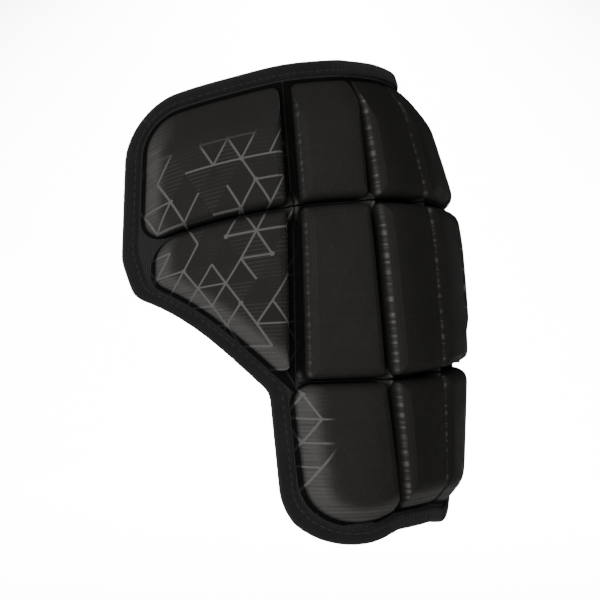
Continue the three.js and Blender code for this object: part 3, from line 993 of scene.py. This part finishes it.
def group_node(t, group, place, **values):
    node = t.node("ShaderNodeGroup", node_tree=group)
    t.plug(place, node.inputs["Place"])
    preset(node, values)
    return node.outputs


def bumped(t, shader, height, distance):
    bump = t.node("ShaderNodeBump")
    preset(bump, {"Strength": 1.0, "Distance": distance})
    t.plug(height, bump.inputs["Height"])
    t.plug(bump.outputs[0], shader.inputs["Normal"])


def rgba(colour, factor=1.0):
    return (*(min(1.0, c * factor) for c in colour), 1.0)


def print_strength(t, place):
    """How strongly the print shows: fully on the end columns, faintly between, not on the upper band."""
    u, v = t.xy(place)
    from_end = t.math("MINIMUM", u, t.minus(float(COLUMN_LINES[-1]), u))
    low = t.ramp(v, float(ROW_LINES[1]) - 1, float(ROW_LINES[1]) + 1, 1.0, 0.0)
    inward = t.minus(from_end, t.times(low, 9.0))
    ends = t.ramp(inward, float(COLUMN_LINES[1]) - 2, float(COLUMN_LINES[1]) + 2, 1.0, 0.02)
    plain = float(ROW_LINES[2] + PRINT_TOP * ROWS[2][1])
    return t.times(ends, t.ramp(v, plain, plain + PRINT_FADE, 1.0, 0.0))


def edge_highlights(t, place):
    """Painted highlights: beads of light along the blocks' upright shoulders, broken by noise, and printed
    hatching with cloudy painted light down the slopes of their rims, both lighter than the ink.
    """
    u, v = t.xy(place)
    column = t.math("FLOOR", t.math("DIVIDE", u, 30.0))
    noise = t.node("ShaderNodeTexNoise", noise_dimensions="1D")
    t.plug(t.plus(t.times(v, 0.5), t.times(column, 17.0)), noise.inputs["W"])
    preset(noise, {"Scale": 1.0, "Detail": 1.0})
    highlight_noise = noise.outputs["Fac"]
    bead_highlight = t.times(t.value_of("shoulder"), t.ramp(highlight_noise, 0.46, 0.64, 0.12, 0.6))
    hatch = t.ramp(t.math("PINGPONG", v, HATCH_PITCH), 0.2, 0.6, 0.13, 0.22)
    rim_slope_highlight = t.times(t.value_of("rim"), t.plus(hatch, t.times(highlight_noise, 0.14)))
    return t.math("MAXIMUM", bead_highlight, rim_slope_highlight)


def skin_material(sizes, colours):
    made = bpy.data.materials.get("Block skin knit")
    if made:
        return made
    material, t, shader, place = cloth_material("Block skin knit", 0.7, 0.0)
    knit = group_node(t, knit_group(), place, Pitch=sizes.wale_pitch * 1000)
    spacing = sizes.print_spacing * 1000
    net = group_node(t, line_net_group(), place, Spacing=spacing, Width=PRINT_WIDTH, Share=PRINT_SHARE)
    tone = group_node(t, tone_group(), place, Scale=0.05)
    # Painted groove shade: darkens the skin and weakens the print near the blocks' feet.
    pressed = t.value_of("pressed")
    strength = t.times(print_strength(t, place), t.ramp(pressed, 0.3, 1.0, 1.0, 0.12))
    cloth = t.mix(tone["Tone"], rgba(colours.skin, 0.8), rgba(colours.skin, 1.2))
    cloth = t.mix(knit["Shade"], rgba(colours.skin, 0.7), cloth)
    cloth = t.mix(pressed, cloth, rgba(colours.skin, 0.2))
    faint = t.times(net["Hatch"], t.times(strength, 0.22))
    cloth = t.mix(faint, cloth, rgba(colours.ink, 0.7))
    # Painted highlights on the shoulders and down the rims' slopes, lighter than the ink.
    cloth = t.mix(edge_highlights(t, place), cloth, rgba(colours.ink, 1.7))
    inked = t.times(net["Lines"], strength)
    t.plug(t.mix(t.times(inked, 0.85), cloth, rgba(colours.ink)), shader.inputs["Base Color"])
    t.plug(t.minus(0.72, t.times(inked, 0.3)), shader.inputs["Roughness"])
    relief = t.plus(t.times(knit["Height"], 0.6), t.times(inked, 0.5))
    bumped(t, shader, relief, 0.00012)
    return material


def panel_material(sizes, colours):
    material, t, shader, place = cloth_material("Panel knit", 0.85, 0.04)
    knit = group_node(t, knit_group(), place, Pitch=sizes.wale_pitch * 1000 * 1.3)
    tone = group_node(t, tone_group(), place, Scale=0.06)
    cloth = t.mix(tone["Tone"], rgba(colours.panel, 0.8), rgba(colours.panel, 1.25))
    t.plug(t.mix(knit["Shade"], rgba(colours.panel, 0.5), cloth), shader.inputs["Base Color"])
    bumped(t, shader, knit["Height"], 0.0002)
    return material


def tape_material(colours):
    material, t, shader, place = cloth_material("Edge tape weave", 0.75, 0.05)
    u, v = t.xy(place)
    rib = t.waves(v, 0.55)
    pick = t.waves(t.plus(u, t.times(v, 0.6)), 0.7)
    weave = t.times(t.plus(rib, 0.3), t.plus(pick, 0.4))
    tone = group_node(t, tone_group(), place, Scale=0.08)
    cloth = t.mix(tone["Tone"], rgba(colours.tape, 0.75), rgba(colours.tape, 1.4))
    t.plug(t.mix(t.ramp(weave, 0.1, 1.2), rgba(colours.tape, 0.5), cloth), shader.inputs["Base Color"])
    bumped(t, shader, weave, 0.00014)
    return material


def thread_material(colours):
    material, t, shader, place = cloth_material("Sewing thread", 0.5, 0.05)
    u, v = t.xy(place)
    twist = t.math("SINE", t.times(t.plus(u, v), 9.0))
    colour = t.mix(t.ramp(twist, -1, 1), rgba(colours.thread, 0.6), rgba(colours.thread, 1.3))
    t.plug(colour, shader.inputs["Base Color"])
    return material


def stage_material(colours):
    material = bpy.data.materials.new("Studio paper")
    material.use_nodes = True
    t = Tree(material.node_tree)
    shader = material.node_tree.nodes["Principled BSDF"]
    where = t.node("ShaderNodeTexCoord")
    noise = t.node("ShaderNodeTexNoise")
    t.plug(where.outputs["Object"], noise.inputs["Vector"])
    noise.inputs["Scale"].default_value = 3.0
    colour = t.mix(noise.outputs["Fac"], rgba(colours.floor, 0.98), rgba(colours.floor, 1.02))
    t.plug(colour, shader.inputs["Base Color"])
    shader.inputs["Roughness"].default_value = 0.9
    return material


# Stage


def area_light(name, place, turn, size, power, spread=180):
    data = bpy.data.lights.new(name, "AREA")
    data.shape = "RECTANGLE"
    data.size, data.size_y = size
    data.energy = power
    data.spread = math.radians(spread)
    light = bpy.data.objects.new(name, data)
    light.location = place
    light.rotation_euler = turn
    bpy.context.scene.collection.objects.link(light)


def view_axes():
    a, e = math.radians(CAMERA_AZIMUTH), math.radians(CAMERA_ELEVATION)
    back = Vector((math.sin(a) * math.cos(e), -math.cos(a) * math.cos(e), math.sin(e)))
    right = Vector((math.cos(a), math.sin(a), 0))
    return right, back.cross(right), back


def aim_point():
    """Where the camera looks: the middle of the pad's outline as the camera sees it."""
    low, high = (Vector(corner) for corner in cad_box)
    right, up, _ = view_axes()
    places = np.concatenate([on_hip(outline_points(w)) for w in (0, PANEL_THICKNESS + BLOCK_HEIGHT)])
    across, height = places @ np.array(right), places @ np.array(up)
    middle = (low + high) / 2
    shift_right = (across.max() + across.min()) / 2 - middle.dot(right)
    shift_up = (height.max() + height.min()) / 2 - middle.dot(up)
    return middle + right * shift_right + up * shift_up


def outline_points(w):
    outline = outline_loop(60, 50)
    return np.column_stack([outline, np.full(len(outline), w)])


def add_camera():
    _, _, back = view_axes()
    aim = aim_point()
    data = bpy.data.cameras.new("Product view")
    data.sensor_width = SENSOR_WIDTH
    data.lens = SENSOR_WIDTH * CAMERA_DISTANCE / FRAME_WIDTH
    data.clip_end = 60
    camera = bpy.data.objects.new("Product view", data)
    camera.location = aim + back * CAMERA_DISTANCE
    camera.rotation_euler = back.to_track_quat("Z", "Y").to_euler()
    bpy.context.scene.collection.objects.link(camera)
    bpy.context.scene.camera = camera


def studio_floor(level, material):
    """A pale round floor that reaches past the frame from the camera's low height."""
    bpy.ops.object.select_all(action="DESELECT")
    place = (0, 0, level)
    bpy.ops.mesh.primitive_circle_add(vertices=96, radius=FLOOR_RADIUS, fill_type="NGON", location=place)
    floor = bpy.context.active_object
    floor.name = floor.data.name = "studio_floor"
    bpy.ops.object.transform_apply(location=True)
    floor.data.materials.append(material)


def add_lights():
    right, up, back = view_axes()
    key = right * KEY_PLACE[0] + up * KEY_PLACE[1] + back * KEY_PLACE[2]
    area_light("Front left softbox", key, key.to_track_quat("Z", "Y").to_euler(), KEY_SIZE, KEY_POWER)
    behind = Vector((-back.x, -back.y, 0)).normalized() * BACKGROUND_REACH + Vector((0, 0, BACKGROUND_HEIGHT))
    along_view = (0, 0, math.radians(CAMERA_AZIMUTH))
    area_light("Background softbox", behind, along_view, BACKGROUND_SIZE, BACKGROUND_POWER, BACKGROUND_SPREAD)
    rear = Vector((math.sin(REAR_AZIMUTH), -math.cos(REAR_AZIMUTH), REAR_RISE)) * REAR_REACH
    area_light("Rear softbox", rear, rear.to_track_quat("Z", "Y").to_euler(), REAR_SIZE, REAR_POWER)
    world = bpy.context.scene.world or bpy.data.worlds.new("Studio")
    bpy.context.scene.world = world
    world.use_nodes = True
    preset(world.node_tree.nodes["Background"], {"Color": (1, 1, 1, 1), "Strength": WORLD_STRENGTH})


# Operators


class HIPPAD_OT_stage(bpy.types.Operator):
    """Sets up the floor, the lights and the camera"""

    bl_idname = "hip_pad.stage"
    bl_label = "Stage"

    def execute(self, context):
        scene = context.scene
        level = cad_box[0][2] - scene.hip_pad_sizes.floor_drop
        add_camera()
        add_lights()
        studio_floor(level, stage_material(scene.hip_pad_colours))
        return {"FINISHED"}


class HIPPAD_OT_panel(bpy.types.Operator):
    """Adds the carrier panel"""

    bl_idname = "hip_pad.panel"
    bl_label = "Carrier Panel"

    def execute(self, context):
        panel_piece(panel_material(context.scene.hip_pad_sizes, context.scene.hip_pad_colours))
        return {"FINISHED"}


class HIPPAD_OT_upper_row(bpy.types.Operator):
    """Adds the upper row of padded blocks"""

    bl_idname = "hip_pad.upper_row"
    bl_label = "Upper Blocks"

    def execute(self, context):
        block_row(2)
        return {"FINISHED"}


class HIPPAD_OT_middle_row(bpy.types.Operator):
    """Adds the middle row of padded blocks"""

    bl_idname = "hip_pad.middle_row"
    bl_label = "Middle Blocks"

    def execute(self, context):
        block_row(1)
        return {"FINISHED"}


class HIPPAD_OT_lower_row(bpy.types.Operator):
    """Adds the lower row of padded blocks"""

    bl_idname = "hip_pad.lower_row"
    bl_label = "Lower Blocks"

    def execute(self, context):
        block_row(0)
        return {"FINISHED"}


class HIPPAD_OT_tape(bpy.types.Operator):
    """Adds the folded edge tape"""

    bl_idname = "hip_pad.tape"
    bl_label = "Edge Tape"

    def execute(self, context):
        tape_piece(context.scene.hip_pad_sizes, tape_material(context.scene.hip_pad_colours))
        return {"FINISHED"}


class HIPPAD_OT_stitches(bpy.types.Operator):
    """Adds the stitches along the edge tape"""

    bl_idname = "hip_pad.stitches"
    bl_label = "Tape Stitches"

    def execute(self, context):
        stitches_piece(context.scene.hip_pad_sizes, thread_material(context.scene.hip_pad_colours))
        return {"FINISHED"}


STEPS = (
    HIPPAD_OT_stage,
    HIPPAD_OT_panel,
    HIPPAD_OT_upper_row,
    HIPPAD_OT_middle_row,
    HIPPAD_OT_lower_row,
    HIPPAD_OT_tape,
    HIPPAD_OT_stitches,
)


class HIPPAD_PT_panel(bpy.types.Panel):
    """Sizes, colours and steps of the hip pad"""

    bl_idname = "HIPPAD_PT_panel"
    bl_label = "Hip Pad"
    bl_space_type = "VIEW_3D"
    bl_region_type = "UI"
    bl_category = "Hip Pad"

    def draw(self, context):
        for group in (context.scene.hip_pad_sizes, context.scene.hip_pad_colours):
            for name in group.bl_rna.properties.keys():
                if name not in {"rna_type", "name"}:
                    self.layout.prop(group, name)
        for step in STEPS:
            self.layout.operator(step.bl_idname)


CLASSES = (HipPadSizes, HipPadColours, *STEPS, HIPPAD_PT_panel)


def register():
    for cls in CLASSES:
        bpy.utils.register_class(cls)
    bpy.types.Scene.hip_pad_sizes = PointerProperty(type=HipPadSizes)
    bpy.types.Scene.hip_pad_colours = PointerProperty(type=HipPadColours)


def unregister():
    del bpy.types.Scene.hip_pad_colours
    del bpy.types.Scene.hip_pad_sizes
    for cls in reversed(CLASSES):
        bpy.utils.unregister_class(cls)


def plain(box):
    return [[float(x) for x in corner] for corner in box]


def main():
    register()
    bpy.ops.hip_pad.stage()
    bpy.ops.hip_pad.panel()
    bpy.ops.hip_pad.upper_row()
    bpy.ops.hip_pad.middle_row()
    bpy.ops.hip_pad.lower_row()
    bpy.ops.hip_pad.tape()
    bpy.ops.hip_pad.stitches()


if __name__ == "__main__":
    main()
